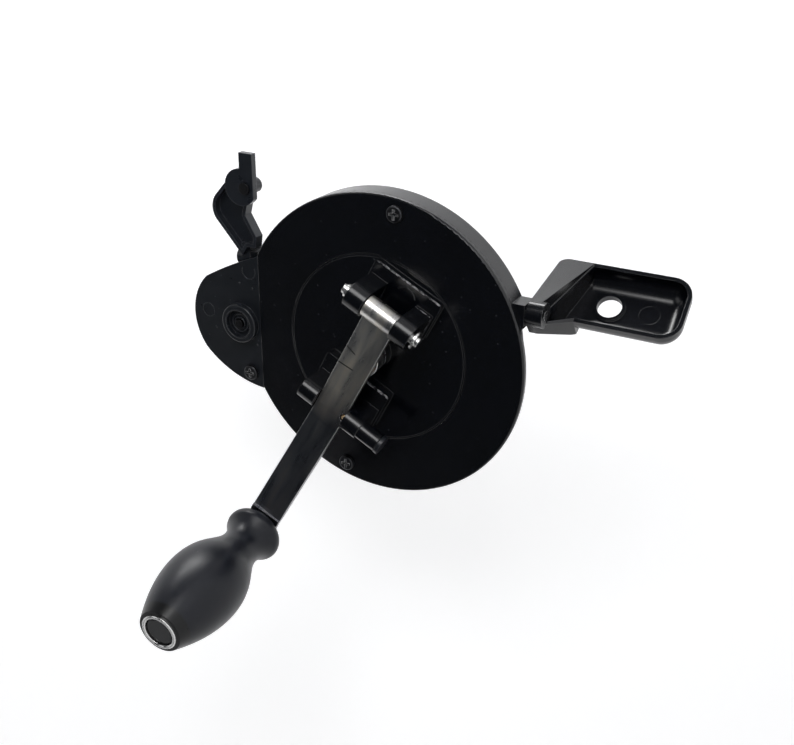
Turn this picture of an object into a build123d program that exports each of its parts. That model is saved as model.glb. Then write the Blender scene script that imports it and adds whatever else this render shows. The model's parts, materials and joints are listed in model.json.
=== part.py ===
from build123d import *
import math
import os

# Hand-cranked strap winder with a geared reel, hung on two swivel brackets.
#
# Frame, in millimetres: the origin is the centre of the case's flat back, on the reel's axis.
# +Z points to the strap inlet, -Y is the crank side (the front), and the brackets' swivel
# axis runs parallel to Z on the +X side.

os.makedirs("parts", exist_ok=True)

# ---------------------------------------------------------------- driving dimensions
# fits and walls
RUNNING_GAP = 0.06         # radial clearance of a turning shaft
SIDE_GAP = 0.3             # clearance beside a moving piece
SEAT_GAP = 0.1             # clearance under the arm on its saddle

# case
CASE_RADIUS = 70.0
CASE_DEPTH = 26.0
COVER_THICKNESS = 2.4
COVER_EDGE_RADIUS = 0.9
RIM_DEPTH = 12.6           # how far the full-radius rim reaches behind the front face
RIM_WALL = 2.4
RIM_START_ANGLE = 62.0     # from +X towards +Z, where the rim meets the inlet guide
RIM_END_ANGLE = -71.5      # the rim stops beside the lower swivel
DRUM_RADIUS = 59.5         # set-in wall behind the rim
DRUM_WALL = 2.2
BACK_THICKNESS = 2.4
CHORD_HEIGHT = 61.2        # the front cover ends here and the guide cover begins
COVER_SCREW_RADIUS = 63.4  # distance of the screws from the axis
COVER_SCREW_ANGLES = (-8.2, 166.6)
SCREW_BOSS_RADIUS = 4.0
SCREW_HEAD_RADIUS = 3.7
SCREW_HEAD_HEIGHT = 1.7
SCREW_SHANK_RADIUS = 1.5
SCREW_LENGTH = 9.0

# inlet guide
GUIDE_TOP = 99.5
GUIDE_CHANNEL_LEFT = -16.0
GUIDE_CHANNEL_RIGHT = 11.0
GUIDE_CHANNEL_TOP = 88.0
GUIDE_WALL = 2.0
SLOT_WIDTH = 8.0
GUIDE_SCREW_X = -27.1
GUIDE_SCREW_Z = 67.6
ROLLER_X = -2.1
ROLLER_Z = 72.0
ROLLER_RADIUS = 6.0
ROLLER_AXLE_RADIUS = 2.0
ROLLER_BOSS_RADIUS = 9.5
ROLLER_BOSS_HEIGHT = 3.0
ROLLER_RECESS_RADIUS = 6.6
ROLLER_RECESS_DEPTH = 2.4

# reel and gears
REEL_RADIUS = 54.0
REEL_FLANGE = 1.4
REEL_DRUM_RADIUS = 26.0
REEL_FRONT_GAP = 1.0       # between the hub plate and the reel
REEL_BACK_GAP = 0.6
REEL_WEB = 2.5
STRAP_SLOT_DEPTH = 1.6
GEAR_MODULE = 1.0
SUN_TEETH = 12
PLANET_TEETH = 15
RING_TEETH = 42
PLANET_COUNT = 3
GEAR_WIDTH = 8.0
POST_RADIUS = 8.0
CARRIER_RADIUS = 18.0
CARRIER_THICKNESS = 2.0
PLANET_PIN_RADIUS = 2.0
SPINDLE_RADIUS = 4.0
SPINDLE_JOURNAL_RADIUS = 3.0
SPINDLE_BORE_DEPTH = 6.0
BRAKE_WIRE = 1.2

# crank hub
CRANK_ANGLE = 153.65       # the arm's direction, from +X towards +Z
HUB_RADIUS = 43.5
HUB_THICKNESS = 2.4
HINGE_REACH = 27.2         # hinge to axis, on the side away from the arm
HINGE_HEIGHT = 16.5        # above the front face
HINGE_PIN_RADIUS = 2.3
HINGE_PIN_HALF = 19.6
HINGE_HEAD_RADIUS = 3.2
EAR_RADIUS = 6.0
EAR_WIDTH = 8.4
UPPER_PAD_END = 39.6
UPPER_PAD_START = 20.0
UPPER_PAD_HEIGHT = 3.2
PAD_HALF_WIDTH = 17.4
LOWER_PAD_START = 13.0
LOWER_PAD_END = 34.0
LOWER_PAD_HEIGHT = 5.0
LATCH_REACH = 27.0         # latch to axis, along the arm
LATCH_PIN_RADIUS = 1.7
LATCH_NOSE_DEPTH = 1.9     # how far the nose enters the arm's notch
LATCH_TRAVEL = 4.0
LATCH_SLEEVE_RADIUS = 4.2
LATCH_SLEEVE_LENGTH = 10.0
LATCH_BUTTON_RADIUS = 3.0
AXLE_NUT_RADIUS = 5.2
AXLE_NUT_HEIGHT = 3.6
AXLE_BOSS_RADIUS = 8.0
AXLE_BOSS_HEIGHT = 7.0
BUSH_RADIUS = 5.0

# crank arm
ARM_WIDTH = 15.0
ARM_THICKNESS = 2.6
ARM_ROOT_HEIGHT = 13.6     # middle of the strip at the eye
ARM_LATCH_HEIGHT = 17.0    # middle of the strip at the latch
ARM_END_REACH = 101.0      # axis to grip pin
ARM_END_HEIGHT = 31.5
ARM_FLAT_START = 91.0      # the strip runs flat under the grip from here
GRIP_LEAN_OUT = 1.5        # degrees the grip leans away from the axis
GRIP_LEAN_SIDE = 4.2       # degrees it leans to the latch side

# grip
GRIP_LENGTH = 75.0
GRIP_COLLAR_RADIUS = 13.4
GRIP_COLLAR_LENGTH = 6.0
GRIP_NECK_RADIUS = 9.7
GRIP_NECK_AT = 18.0
GRIP_BELLY_RADIUS = 18.3
GRIP_BELLY_AT = 48.0
GRIP_END_RADIUS = 10.0
GRIP_PIN_RADIUS = 4.0
GRIP_PIN_LENGTH = 60.0
GRIP_RING_OUTER = 8.4
GRIP_RING_INNER = 6.8
GRIP_RING_LENGTH = 3.0
RIVET_HEAD_RADIUS = 6.0
RIVET_HEAD_HEIGHT = 1.6

# swivel brackets
SWIVEL_X = 28.5
SWIVEL_BEHIND = 7.6        # swivel axis behind the front face
SWIVEL_PIN_RADIUS = 2.0
SWIVEL_START = 67.4        # the brackets begin at this height on both sides
LUG_HALF = 4.6
LUG_ROOT = 50.0
BRACKET_ANGLE = 52.0       # degrees the lower bracket is swung back from the case
KNUCKLE_RADIUS = 5.4
KNUCKLE_LENGTH = 7.0
KNUCKLE_DEPTH = 8.0        # how far the riser reaches behind the swivel axis at the knuckle
RISER_WIDTH = 14.6         # along Z
RISER_CORNER = 4.0
RISER_TIP = 2.6            # width of the riser's front face at the knuckle
TRAY_NEAR = 6.6
TRAY_FAR = 36.2
TRAY_RIM = 12.0            # rim below the swivel axis
TRAY_BACK = 23.0           # flat back below the swivel axis
TRAY_LENGTH = 43.0
TRAY_WALL = 1.8
TRAY_FLOOR = 2.2
TRAY_CORNER = 9.0
TRAY_CAVITY_FILLET = 6.8
WALL_HOLE_RADIUS = 5.25
WALL_HOLE_FROM_RISER = 10.0
WALL_HOLE_RIM = 1.5
WALL_HOLE_RIM_HEIGHT = 0.8

# upper bracket
UPPER_KNUCKLE_RADIUS = 4.2
UPPER_KNUCKLE_LENGTH = 8.0
UPPER_DEPTH = 5.0
UPPER_WALL = 1.6
UPPER_NECK_X = 36.0        # the neck joins the knuckle to the link up to here
UPPER_NECK_WIDTH = 5.0
UPPER_FRONT_BEHIND = 1.4   # front of the upper bracket behind the front face
FOOT_X = 63.5
FOOT_Z = 64.8
FOOT_PIN_RADIUS = 1.75
FOOT_LOBE_Z = 67.4
FOOT_LOBE_RADIUS = 8.3
FOOT_THICKNESS = 3.0
FOOT_TAB_WIDTH = 6.9
FOOT_TOP = 79.0
FOOT_EDGE_Z = 60.6

# ---------------------------------------------------------------- derived places
FRONT_Y = -CASE_DEPTH
COVER_BACK_Y = FRONT_Y + COVER_THICKNESS
RIM_BACK_Y = FRONT_Y + RIM_DEPTH
INNER_BACK_Y = -BACK_THICKNESS
HUB_BACK_Y = FRONT_Y + HUB_THICKNESS
REEL_FRONT_Y = HUB_BACK_Y + REEL_FRONT_GAP
REEL_BACK_Y = INNER_BACK_Y - REEL_BACK_GAP
SWIVEL_Y = FRONT_Y + SWIVEL_BEHIND

CARRIER_BACK_Y = REEL_BACK_Y - REEL_FLANGE - REEL_WEB - 2 * SIDE_GAP
POST_TOP_Y = CARRIER_BACK_Y
GEAR_BACK_Y = CARRIER_BACK_Y - CARRIER_THICKNESS - SIDE_GAP
GEAR_FRONT_Y = GEAR_BACK_Y - GEAR_WIDTH
PLANET_DISTANCE = GEAR_MODULE * (SUN_TEETH + PLANET_TEETH) / 2


def rod_y(radius, y0, y1, x=0.0, z=0.0):
    """Cylinder along Y."""
    return Pos(x, (y0 + y1) / 2, z) * Rot(90, 0, 0) * Cylinder(radius, abs(y1 - y0))


def rod_z(radius, z0, z1, x=0.0, y=0.0):
    """Cylinder along Z."""
    return Pos(x, y, (z0 + z1) / 2) * Cylinder(radius, abs(z1 - z0))


def block(x0, x1, y0, y1, z0, z1):
    """Box between corner values."""
    return Pos((x0 + x1) / 2, (y0 + y1) / 2, (z0 + z1) / 2) * Box(abs(x1 - x0), abs(y1 - y0), abs(z1 - z0))


def slab(sketch, y0, y1):
    """Raise a sketch drawn in (x, z) into a slab between two Y values."""
    plane = Plane(origin=(0, y1, 0), x_dir=(1, 0, 0), z_dir=(0, -1, 0))
    return extrude(plane * sketch, amount=y1 - y0)


def on_circle(radius, angle):
    """A point (x, z) at an angle from +X towards +Z."""
    return radius * math.cos(math.radians(angle)), radius * math.sin(math.radians(angle))


def sector(radius, start, end):
    """Pie-shaped face in (x, z), used to cut the rim to its arc."""
    middle = (start + end) / 2
    first = on_circle(radius, start)
    last = on_circle(radius, end)
    outline = Line((0, 0), first) + ThreePointArc(first, on_circle(radius, middle), last) + Line(last, (0, 0))
    return make_face(outline)


def save(shape, name, color):
    shape.label = name
    shape.color = Color(*color)
    export_step(shape, f"parts/{name}.step")


# ---------------------------------------------------------------- case
def screw(x, z, length=SCREW_LENGTH):
    """Pan-head screw with a cross recess, driven in from the front."""
    head = rod_y(SCREW_HEAD_RADIUS, FRONT_Y - SCREW_HEAD_HEIGHT, FRONT_Y, x, z)
    head = fillet(head.edges().sort_by(Axis.Y)[0], SCREW_HEAD_HEIGHT * 0.5)
    arm = SCREW_HEAD_RADIUS * 0.6
    slot = SCREW_HEAD_RADIUS * 0.13
    top = FRONT_Y - SCREW_HEAD_HEIGHT
    cross = block(x - arm, x + arm, top - 1, top + 1, z - slot, z + slot)
    cross += block(x - slot, x + slot, top - 1, top + 1, z - arm, z + arm)
    return head - cross + rod_y(SCREW_SHANK_RADIUS, FRONT_Y, FRONT_Y + length, x, z)


def front_cover():
    """Flat round cover, cut straight under the inlet guide, with the hub plate's opening."""
    disc = rod_y(CASE_RADIUS, FRONT_Y, COVER_BACK_Y)
    disc = fillet(disc.edges().group_by(Axis.Y)[0], COVER_EDGE_RADIUS)
    disc -= block(-CASE_RADIUS, CASE_RADIUS, FRONT_Y - 1, COVER_BACK_Y + 1, CHORD_HEIGHT, CASE_RADIUS + 1)
    disc -= rod_y(HUB_RADIUS + SIDE_GAP, FRONT_Y - 1, COVER_BACK_Y + 1)
    for angle in COVER_SCREW_ANGLES:
        x, z = on_circle(COVER_SCREW_RADIUS, angle)
        disc -= rod_y(SCREW_SHANK_RADIUS, FRONT_Y - 1, COVER_BACK_Y + 1, x, z)
    return disc


def guide_outline():
    """Rounded outline of the inlet guide's cover, in (x, z)."""
    right_foot = (32.0, CHORD_HEIGHT)
    left_foot = (-34.0, CHORD_HEIGHT)
    right_shoulder = (17.5, GUIDE_TOP - 8.3)
    left_shoulder = (-19.5, GUIDE_TOP - 6.0)
    outline = Line(left_foot, right_foot)
    outline += ThreePointArc(right_foot, (25.6, 76.0), right_shoulder)
    outline += ThreePointArc(right_shoulder, (-1.0, GUIDE_TOP), left_shoulder)
    outline += ThreePointArc(left_shoulder, (-29.5, 79.0), left_foot)
    return make_face(outline)


def guide_cover():
    """Front plate of the inlet guide with the roller's raised boss."""
    plate = slab(guide_outline(), FRONT_Y, COVER_BACK_Y)
    boss_top = FRONT_Y - ROLLER_BOSS_HEIGHT
    boss = rod_y(ROLLER_BOSS_RADIUS, boss_top, FRONT_Y, ROLLER_X, ROLLER_Z)
    boss = fillet(boss.edges().sort_by(Axis.Y)[0], COVER_EDGE_RADIUS)
    plate += boss
    plate -= rod_y(ROLLER_RECESS_RADIUS, boss_top - 1, boss_top + ROLLER_RECESS_DEPTH, ROLLER_X, ROLLER_Z)
    plate -= rod_y(ROLLER_AXLE_RADIUS, boss_top - 1, COVER_BACK_Y + 1, ROLLER_X, ROLLER_Z)
    plate -= rod_y(SCREW_SHANK_RADIUS, FRONT_Y - 1, COVER_BACK_Y + 1, GUIDE_SCREW_X, GUIDE_SCREW_Z)
    return plate


def rear_shell():
    """Set-in drum, stepped rim, inlet channel, screw bosses, swivel lugs and the fixed post."""
    drum = rod_y(DRUM_RADIUS, COVER_BACK_Y, 0)
    flange = rod_y(CASE_RADIUS, COVER_BACK_Y, RIM_BACK_Y)
    flange -= rod_y(CASE_RADIUS - RIM_WALL, COVER_BACK_Y - 1, RIM_BACK_Y - RIM_WALL)
    arc = slab(sector(2 * CASE_RADIUS, RIM_START_ANGLE, RIM_END_ANGLE), COVER_BACK_Y, RIM_BACK_Y)
    shell = drum + (flange & arc)

    channel = block(GUIDE_CHANNEL_LEFT, GUIDE_CHANNEL_RIGHT, COVER_BACK_Y, 0, 0, GUIDE_CHANNEL_TOP)
    shell += channel
    boss_back = FRONT_Y + SCREW_LENGTH + 2
    for angle in COVER_SCREW_ANGLES:
        x, z = on_circle(COVER_SCREW_RADIUS, angle)
        inner_x, inner_z = on_circle(DRUM_RADIUS - DRUM_WALL, angle)
        shell += rod_y(SCREW_BOSS_RADIUS, COVER_BACK_Y, boss_back, x, z)
        shell += rod_y(SCREW_BOSS_RADIUS, COVER_BACK_Y, boss_back, inner_x, inner_z)
    shell += rod_y(SCREW_BOSS_RADIUS, COVER_BACK_Y, boss_back, GUIDE_SCREW_X, GUIDE_SCREW_Z)
    shell += block(GUIDE_SCREW_X - 1.5, GUIDE_SCREW_X + 1.5, COVER_BACK_Y, boss_back, 50, GUIDE_SCREW_Z)

    for side in (-1, 1):
        lug = block(SWIVEL_X - LUG_HALF, SWIVEL_X + LUG_HALF, COVER_BACK_Y, SWIVEL_Y + LUG_HALF,
                    side * LUG_ROOT, side * (SWIVEL_START - SIDE_GAP))
        shell += lug

    # hollow it
    shell -= rod_y(DRUM_RADIUS - DRUM_WALL, COVER_BACK_Y - 1, INNER_BACK_Y)
    shell -= block(GUIDE_CHANNEL_LEFT + GUIDE_WALL, GUIDE_CHANNEL_RIGHT - GUIDE_WALL, COVER_BACK_Y - 1,
                   INNER_BACK_Y, 0, GUIDE_CHANNEL_TOP - GUIDE_WALL)
    slot_right = GUIDE_CHANNEL_RIGHT - GUIDE_WALL
    shell -= block(slot_right - SLOT_WIDTH, slot_right, COVER_BACK_Y - 1, INNER_BACK_Y,
                   GUIDE_CHANNEL_TOP - 2 * GUIDE_WALL, GUIDE_CHANNEL_TOP + 1)

    # fixed post for the reel, with the spindle's blind bore
    shell += rod_y(POST_RADIUS, POST_TOP_Y, INNER_BACK_Y)
    shell -= rod_y(SPINDLE_JOURNAL_RADIUS + RUNNING_GAP, POST_TOP_Y - 1, POST_TOP_Y + SPINDLE_BORE_DEPTH)

    # holes
    for angle in COVER_SCREW_ANGLES:
        x, z = on_circle(COVER_SCREW_RADIUS, angle)
        shell -= rod_y(SCREW_SHANK_RADIUS, COVER_BACK_Y - 1, FRONT_Y + SCREW_LENGTH, x, z)
    shell -= rod_y(SCREW_SHANK_RADIUS, COVER_BACK_Y - 1, FRONT_Y + SCREW_LENGTH, GUIDE_SCREW_X, GUIDE_SCREW_Z)
    for side in (-1, 1):
        shell -= rod_z(SWIVEL_PIN_RADIUS, side * (LUG_ROOT - 6), side * (SWIVEL_START + 1), SWIVEL_X, SWIVEL_Y)
    shell -= rod_y(ROLLER_AXLE_RADIUS, INNER_BACK_Y - 1, INNER_BACK_Y + BACK_THICKNESS / 2, ROLLER_X, ROLLER_Z)
    return shell


def guide_roller():
    """Roller that the strap runs over in the inlet."""
    front = COVER_BACK_Y + SIDE_GAP
    back = INNER_BACK_Y - SIDE_GAP
    roller = rod_y(ROLLER_RADIUS, front, back, ROLLER_X, ROLLER_Z)
    waist = rod_y(ROLLER_RADIUS + 1, front + 2, back - 2, ROLLER_X, ROLLER_Z)
    waist -= rod_y(ROLLER_RADIUS - 0.8, front, back, ROLLER_X, ROLLER_Z)
    return roller - waist - rod_y(ROLLER_AXLE_RADIUS + RUNNING_GAP, front - 1, back + 1, ROLLER_X, ROLLER_Z)


def roller_axle():
    """Steel axle whose front end shows in the boss."""
    front = FRONT_Y - ROLLER_BOSS_HEIGHT + 0.6
    return rod_y(ROLLER_AXLE_RADIUS, front, INNER_BACK_Y + BACK_THICKNESS / 2, ROLLER_X, ROLLER_Z)


# ---------------------------------------------------------------- reel and gears
def gear_face(teeth, tip_radius, root_radius, tip_share, root_share, phase):
    """Toothed outline in (x, z). The shares are fractions of the pitch at the tip and the root."""
    pitch = 360.0 / teeth
    points = []
    for tooth in range(teeth):
        centre = phase + tooth * pitch
        points.append(on_circle(root_radius, centre - pitch * root_share / 2))
        points.append(on_circle(tip_radius, centre - pitch * tip_share / 2))
        points.append(on_circle(tip_radius, centre + pitch * tip_share / 2))
        points.append(on_circle(root_radius, centre + pitch * root_share / 2))
    return make_face(Polyline(*points, close=True))


ADDENDUM = 0.8 * GEAR_MODULE
DEDENDUM = 1.1 * GEAR_MODULE
TIP_SHARE = 0.22
ROOT_SHARE = 0.56


def outer_gear(teeth, phase, bore, x=0.0, z=0.0):
    """Spur gear with external teeth."""
    pitch_radius = teeth * GEAR_MODULE / 2
    face = gear_face(teeth, pitch_radius + ADDENDUM, pitch_radius - DEDENDUM, TIP_SHARE, ROOT_SHARE, phase)
    gear = Pos(x, 0, z) * slab(face, GEAR_FRONT_Y, GEAR_BACK_Y)
    return gear - rod_y(bore, GEAR_FRONT_Y - 1, GEAR_BACK_Y + 1, x, z)


def planet_place(index):
    """Angle and centre of one planet."""
    angle = 90.0 + index * 360.0 / PLANET_COUNT
    x, z = on_circle(PLANET_DISTANCE, angle)
    return angle, x, z


def sun_gear():
    """Small gear on the crank's spindle. A gap faces each planet."""
    phase = 90.0 + 180.0 / SUN_TEETH
    return outer_gear(SUN_TEETH, phase, SPINDLE_RADIUS)


def planet_gear(index):
    """Planet with a tooth towards the sun, turning on its fixed pin."""
    angle, x, z = planet_place(index)
    return outer_gear(PLANET_TEETH, angle + 180.0, PLANET_PIN_RADIUS + RUNNING_GAP, x, z)


def planet_carrier():
    """Fixed disc on the post that holds the planets' pins."""
    disc = rod_y(CARRIER_RADIUS, CARRIER_BACK_Y - CARRIER_THICKNESS, CARRIER_BACK_Y)
    disc -= rod_y(SPINDLE_RADIUS + SIDE_GAP, CARRIER_BACK_Y - CARRIER_THICKNESS - 1, CARRIER_BACK_Y + 1)
    for index in range(PLANET_COUNT):
        _, x, z = planet_place(index)
        disc -= rod_y(PLANET_PIN_RADIUS, CARRIER_BACK_Y - CARRIER_THICKNESS - 1, CARRIER_BACK_Y + 1, x, z)
    return disc


def planet_pins():
    """Three pins pressed into the carrier."""
    pins = []
    for index in range(PLANET_COUNT):
        _, x, z = planet_place(index)
        pins.append(rod_y(PLANET_PIN_RADIUS, GEAR_FRONT_Y - 0.8, CARRIER_BACK_Y, x, z))
    return Compound(children=pins)


def ring_phase():
    """Phase that puts a ring gap on the tooth that each planet turns outwards."""
    outward_is_tooth = (PLANET_TEETH % 2 == 0)
    pitch = 360.0 / RING_TEETH
    return 90.0 + (pitch / 2 if outward_is_tooth else 0.0)


RING_PITCH_RADIUS = RING_TEETH * GEAR_MODULE / 2
FLANGE_FRONT_Y = REEL_FRONT_Y + REEL_FLANGE
FLANGE_BACK_Y = REEL_BACK_Y - REEL_FLANGE


def reel():
    """Drum of the reel with the internal ring gear and the web that turns on the post."""
    body = rod_y(REEL_DRUM_RADIUS, FLANGE_FRONT_Y, FLANGE_BACK_Y)
    cavity_back = FLANGE_BACK_Y - REEL_WEB
    cavity = rod_y(RING_PITCH_RADIUS + DEDENDUM + 0.6, FLANGE_FRONT_Y - 1, GEAR_FRONT_Y)
    cavity += rod_y(RING_PITCH_RADIUS + DEDENDUM, GEAR_FRONT_Y, GEAR_BACK_Y)
    cavity += rod_y(CARRIER_RADIUS + 2 * SIDE_GAP, GEAR_BACK_Y, cavity_back)
    body -= cavity
    # ring teeth point inwards, so their tips are the small radius
    hollow = gear_face(RING_TEETH, RING_PITCH_RADIUS - ADDENDUM, RING_PITCH_RADIUS + DEDENDUM,
                       TIP_SHARE, ROOT_SHARE, ring_phase())
    ring = rod_y(RING_PITCH_RADIUS + DEDENDUM + 1, GEAR_FRONT_Y, GEAR_BACK_Y)
    body += ring - slab(hollow, GEAR_FRONT_Y - 1, GEAR_BACK_Y + 1)
    body -= rod_y(POST_RADIUS + RUNNING_GAP, cavity_back - 1, FLANGE_BACK_Y + 1)
    # slot in the drum where the strap's end is hooked
    slot_x = REEL_DRUM_RADIUS - STRAP_SLOT_DEPTH
    body -= block(slot_x, REEL_DRUM_RADIUS + 1, FLANGE_FRONT_Y, FLANGE_BACK_Y, -1, 1)
    return body


def reel_front_flange():
    """Ring-shaped flange clipped on the front of the drum."""
    ring = rod_y(REEL_RADIUS, REEL_FRONT_Y, FLANGE_FRONT_Y)
    return ring - rod_y(RING_PITCH_RADIUS + DEDENDUM + 0.6, REEL_FRONT_Y - 1, FLANGE_FRONT_Y + 1)


def reel_back_flange():
    """Flange on the back of the drum, open for the post."""
    disc = rod_y(REEL_RADIUS, FLANGE_BACK_Y, REEL_BACK_Y)
    return disc - rod_y(POST_RADIUS + RUNNING_GAP, FLANGE_BACK_Y - 1, REEL_BACK_Y + 1)


def brake_spring():
    """Split friction ring on the post that keeps the reel from running back."""
    inner = POST_RADIUS
    front = INNER_BACK_Y - REEL_BACK_GAP + 0.1
    ring = rod_y(inner + BRAKE_WIRE, front, INNER_BACK_Y) - rod_y(inner, front - 1, INNER_BACK_Y + 1)
    return ring - block(-1, 1, front - 1, INNER_BACK_Y + 1, 0, inner + 2 * BRAKE_WIRE)


def spindle():
    """Stepped shaft that joins the crank hub to the sun gear."""
    axle_top = FRONT_Y - AXLE_BOSS_HEIGHT - AXLE_NUT_HEIGHT
    shaft = rod_y(SPINDLE_RADIUS, axle_top, CARRIER_BACK_Y - CARRIER_THICKNESS + 0.5)
    shaft += rod_y(SPINDLE_JOURNAL_RADIUS, CARRIER_BACK_Y - CARRIER_THICKNESS,
                   POST_TOP_Y + SPINDLE_BORE_DEPTH - SIDE_GAP)
    return fillet(shaft.edges().sort_by(Axis.Y)[0], 0.6)


def front_bush():
    """Spacer between the hub plate and the sun gear."""
    bush = rod_y(BUSH_RADIUS, HUB_BACK_Y, GEAR_FRONT_Y)
    return bush - rod_y(SPINDLE_RADIUS, HUB_BACK_Y - 1, GEAR_FRONT_Y + 1)


# ---------------------------------------------------------------- crank
# Local frame of the crank: x runs along the arm, y to the latch side, z out from the front face.
ARM_X, ARM_Z = on_circle(1.0, CRANK_ANGLE)
CRANK = Plane(origin=(0, FRONT_Y, 0), x_dir=(ARM_X, 0, ARM_Z), z_dir=(0, -1, 0)).location
EAR_INNER = ARM_WIDTH / 2 + SIDE_GAP
EAR_OUTER = EAR_INNER + EAR_WIDTH
LATCH_HEIGHT = ARM_LATCH_HEIGHT


def rod_across(radius, y0, y1, x, z):
    """Cylinder along the crank's local y."""
    return Pos(x, (y0 + y1) / 2, z) * Rot(90, 0, 0) * Cylinder(radius, abs(y1 - y0))


def ear(x, height, radius, side):
    """Upright ear with a round top around a cross pin."""
    y0 = side * EAR_INNER
    y1 = side * EAR_OUTER
    body = rod_across(radius, y0, y1, x, height)
    body += block(x - radius, x + radius, y0, y1, 0, height)
    return body


def crank_hub():
    """Round plate flush with the cover, with two pads, four ears, a saddle and the latch sleeve."""
    hub = Pos(0, 0, -HUB_THICKNESS / 2) * Cylinder(HUB_RADIUS, HUB_THICKNESS)
    upper = block(-UPPER_PAD_END, -UPPER_PAD_START, -PAD_HALF_WIDTH, PAD_HALF_WIDTH, 0, UPPER_PAD_HEIGHT)
    upper = fillet(upper.edges().filter_by(Axis.Z), 1.5)
    lower = block(LOWER_PAD_START, LOWER_PAD_END, -PAD_HALF_WIDTH, PAD_HALF_WIDTH, 0, LOWER_PAD_HEIGHT)
    lower = fillet(lower.edges().filter_by(Axis.Z), 1.5)
    hub += upper + lower
    for side in (-1, 1):
        hub += ear(-HINGE_REACH, HINGE_HEIGHT, EAR_RADIUS, side)
        hub += ear(LATCH_REACH, LATCH_HEIGHT, EAR_RADIUS - 1, side)
    saddle_top = ARM_LATCH_HEIGHT - ARM_THICKNESS / 2 - 2 * SEAT_GAP - 0.5
    hub += block(LATCH_REACH - EAR_RADIUS + 2, LATCH_REACH + 1, -EAR_OUTER + 2, EAR_OUTER - 2, 0, saddle_top)
    hub += Pos(0, 0, AXLE_BOSS_HEIGHT / 2) * Cylinder(AXLE_BOSS_RADIUS, AXLE_BOSS_HEIGHT)
    sleeve_end = EAR_OUTER + LATCH_SLEEVE_LENGTH
    hub += rod_across(LATCH_SLEEVE_RADIUS, EAR_OUTER - 1, sleeve_end, LATCH_REACH, LATCH_HEIGHT)
    # bores
    hub -= Pos(0, 0, 0) * Cylinder(SPINDLE_RADIUS, 4 * AXLE_BOSS_HEIGHT)
    hub -= rod_across(HINGE_PIN_RADIUS, -EAR_OUTER - 1, EAR_OUTER + 1, -HINGE_REACH, HINGE_HEIGHT)
    hub -= rod_across(LATCH_PIN_RADIUS + RUNNING_GAP, EAR_INNER - 1, sleeve_end + 1, LATCH_REACH, LATCH_HEIGHT)
    hub -= rod_across(LATCH_BUTTON_RADIUS + RUNNING_GAP, EAR_OUTER, sleeve_end + 1, LATCH_REACH, LATCH_HEIGHT)
    return hub


def axle_nut():
    """Round riveted collar on the spindle's front end."""
    ring = Pos(0, 0, AXLE_BOSS_HEIGHT + AXLE_NUT_HEIGHT / 2) * Cylinder(AXLE_NUT_RADIUS, AXLE_NUT_HEIGHT)
    ring = chamfer(ring.edges().sort_by(Axis.Z)[-1], 0.6)
    return ring - Pos(0, 0, AXLE_BOSS_HEIGHT) * Cylinder(SPINDLE_RADIUS, 4 * AXLE_NUT_HEIGHT)


def hinge_pin():
    """Cross pin with a round head, grooved at the other end."""
    pin = rod_across(HINGE_PIN_RADIUS, -HINGE_PIN_HALF, HINGE_PIN_HALF, -HINGE_REACH, HINGE_HEIGHT)
    head = rod_across(HINGE_HEAD_RADIUS, -EAR_OUTER - 2, -EAR_OUTER, -HINGE_REACH, HINGE_HEIGHT)
    groove = rod_across(HINGE_PIN_RADIUS + 1, EAR_OUTER + 1, EAR_OUTER + 2, -HINGE_REACH, HINGE_HEIGHT)
    groove -= rod_across(HINGE_PIN_RADIUS - 0.7, EAR_OUTER, EAR_OUTER + 3, -HINGE_REACH, HINGE_HEIGHT)
    return pin + head - groove


def pin_clip():
    """Open retaining clip in the hinge pin's groove."""
    clip = rod_across(HINGE_PIN_RADIUS + 2, EAR_OUTER + 1, EAR_OUTER + 2, -HINGE_REACH, HINGE_HEIGHT)
    clip -= rod_across(HINGE_PIN_RADIUS - 0.7, EAR_OUTER, EAR_OUTER + 3, -HINGE_REACH, HINGE_HEIGHT)
    mouth = HINGE_PIN_RADIUS - 0.9
    return clip - block(-HINGE_REACH - mouth, -HINGE_REACH + mouth, EAR_OUTER, EAR_OUTER + 3,
                        HINGE_HEIGHT, HINGE_HEIGHT + 2 * EAR_RADIUS)


def latch_pin():
    """Sprung pin whose round nose sits in the notch of the arm."""
    nose = ARM_WIDTH / 2 - LATCH_NOSE_DEPTH
    root = EAR_OUTER + LATCH_TRAVEL + SIDE_GAP
    pin = rod_across(LATCH_PIN_RADIUS, nose + LATCH_PIN_RADIUS, root, LATCH_REACH, LATCH_HEIGHT)
    return pin + Pos(LATCH_REACH, nose + LATCH_PIN_RADIUS, LATCH_HEIGHT) * Sphere(LATCH_PIN_RADIUS)


def latch_knob():
    """Pull button that slides in the sleeve and carries the pin."""
    start = EAR_OUTER + LATCH_TRAVEL + SIDE_GAP
    end = EAR_OUTER + LATCH_SLEEVE_LENGTH + 2.0
    button = rod_across(LATCH_BUTTON_RADIUS, start, end, LATCH_REACH, LATCH_HEIGHT)
    cap = rod_across(LATCH_SLEEVE_RADIUS + 0.3, end - 1.7, end, LATCH_REACH, LATCH_HEIGHT)
    return button + cap


GRIP_OUT = math.tan(math.radians(GRIP_LEAN_OUT))
GRIP_SIDE = math.tan(math.radians(GRIP_LEAN_SIDE))
# Local frame of the grip: z along the grip from the middle of the strip.
GRIP_IN_CRANK = Plane(origin=(ARM_END_REACH, 0, ARM_END_HEIGHT), x_dir=(1, 0, -GRIP_OUT),
                      z_dir=(GRIP_OUT, GRIP_SIDE, 1)).location
GRIP = CRANK * GRIP_IN_CRANK


def strip_section(x, z, slope, twist=0.0):
    """Cross-section of the strip, square to its run."""
    angle = math.radians(slope)
    plane = Plane(origin=(x, 0, z), x_dir=(0, 1, math.tan(math.radians(-twist))),
                  z_dir=(math.cos(angle), 0, math.sin(angle)))
    return plane * Rectangle(ARM_WIDTH, ARM_THICKNESS)


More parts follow.
